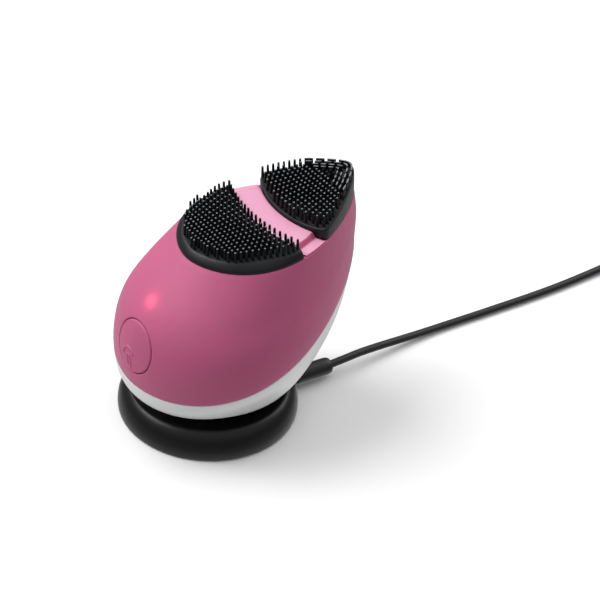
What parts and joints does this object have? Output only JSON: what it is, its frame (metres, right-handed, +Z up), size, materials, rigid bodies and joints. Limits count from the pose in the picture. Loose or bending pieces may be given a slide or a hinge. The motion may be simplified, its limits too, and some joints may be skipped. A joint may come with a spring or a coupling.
{
  "type": "cleansing brush with charging stand",
  "caption": "Egg-shaped handheld cleansing brush with two soft bristle pads, standing in a round charging stand with its lead.",
  "frame": {"origin": "centre of the charging stand's underside, on the table", "axes": "+Z up, +X towards the narrow tip of the brush, +Y to its far side"},
  "size_m": [0.2708, 0.1022, 0.0879],
  "materials": {
    "soft_touch_pink": "soft-touch coating with a fine satin grain",
    "gloss_pink": "polished, lighter pink",
    "button_pink": "soft-touch, moulded power symbol",
    "white_plastic": "smooth white",
    "black_silicone": "soft moulded silicone",
    "stand_black": "satin moulded plastic",
    "seal_rubber": "matt rubber",
    "inner_white": "moulded, unpainted",
    "inner_black": "moulded, unpainted",
    "pcb_green": "solder mask",
    "led_lens": "clear tinted",
    "cell_blue": "shrink sleeve",
    "motor_steel": "drawn steel",
    "weight_brass": "machined",
    "contact_gold": "gold plated",
    "ballast_iron": "plain",
    "screw_steel": "zinc plated",
    "plug_metal": "nickel plated",
    "plug_black": "fine spark-eroded grain",
    "cord_black": "satin jacket"
  },
  "bodies": {
    "stand": {"stand_housing": "stand_black", "stand_base_cover": "stand_black", "foot_pad": "seal_rubber", "ballast_ring": "ballast_iron", "stand_pcb": "pcb_green", "dc_jack": "inner_black", "pin_sleeves": "contact_gold", "stand_screws": "screw_steel"},
    "handset": {"front_shell": "soft_touch_pink", "rear_shell": "white_plastic", "brush_pad_lower": "black_silicone", "brush_pad_upper": "black_silicone", "band_insert": "gloss_pink", "tact_switch": "inner_black", "main_pcb": "pcb_green", "indicator_led": "led_lens", "battery_cell": "cell_blue", "chassis": "inner_white", "chassis_screws": "screw_steel", "shell_seal": "seal_rubber", "motor_can": "motor_steel", "motor_bracket": "inner_white", "charge_contacts": "contact_gold"},
    "button": {"power_button": "button_pink"},
    "switch": {"switch_stem": "inner_white"},
    "motor_rotor": {"motor_shaft": "motor_steel", "eccentric_weight": "weight_brass"},
    "pin_left": {"charge_pin_left": "contact_gold", "pin_spring_left": "screw_steel"},
    "pin_right": {"charge_pin_right": "contact_gold", "pin_spring_right": "screw_steel"},
    "lead": {"dc_plug_barrel": "plug_metal", "dc_plug_grip": "plug_black", "cord_tube": "cord_black", "cord_coil": "cord_black", "cord_tail": "cord_black", "usb_plug_grip": "plug_black", "usb_plug_shell": "plug_metal", "usb_plug_tongue": "inner_white"}
  },
  "joints": [
    {"name": "handset_lift", "type": "slide", "parent": "stand", "child": "handset", "axis": [0, 0, 1], "range_m": [0, 0.08]},
    {"name": "button_press", "type": "slide", "parent": "handset", "child": "button", "axis": [0.9781, 0, -0.2079], "range_m": [0, 0.0005], "stiffness_N_per_m": 2000, "springref_m": -0.0005},
    {"name": "switch_travel", "type": "slide", "parent": "handset", "child": "switch", "axis": [0.9781, 0, -0.2079], "range_m": [0, 0.0005]},
    {"name": "motor_spin", "type": "hinge", "parent": "handset", "child": "motor_rotor", "pos_m": [0.01317, 0, 0.06214], "axis": [0, 1, 0], "continuous": true},
    {"name": "pin_left_travel", "type": "slide", "parent": "stand", "child": "pin_left", "axis": [0, 0, 1], "range_m": [-0.0007, 0], "stiffness_N_per_m": 500, "springref_m": 0.001, "deforming": ["pin_spring_left"]},
    {"name": "pin_right_travel", "type": "slide", "parent": "stand", "child": "pin_right", "axis": [0, 0, 1], "range_m": [-0.0007, 0], "stiffness_N_per_m": 500, "springref_m": 0.001, "deforming": ["pin_spring_right"]},
    {"name": "plug_pull", "type": "slide", "parent": "stand", "child": "lead", "axis": [0.9976, -0.0698, 0], "range_m": [0, 0.012]}
  ],
  "couplings": [
    {"joint": "switch_travel", "follows": "button_press", "ratio": 1}
  ]
}
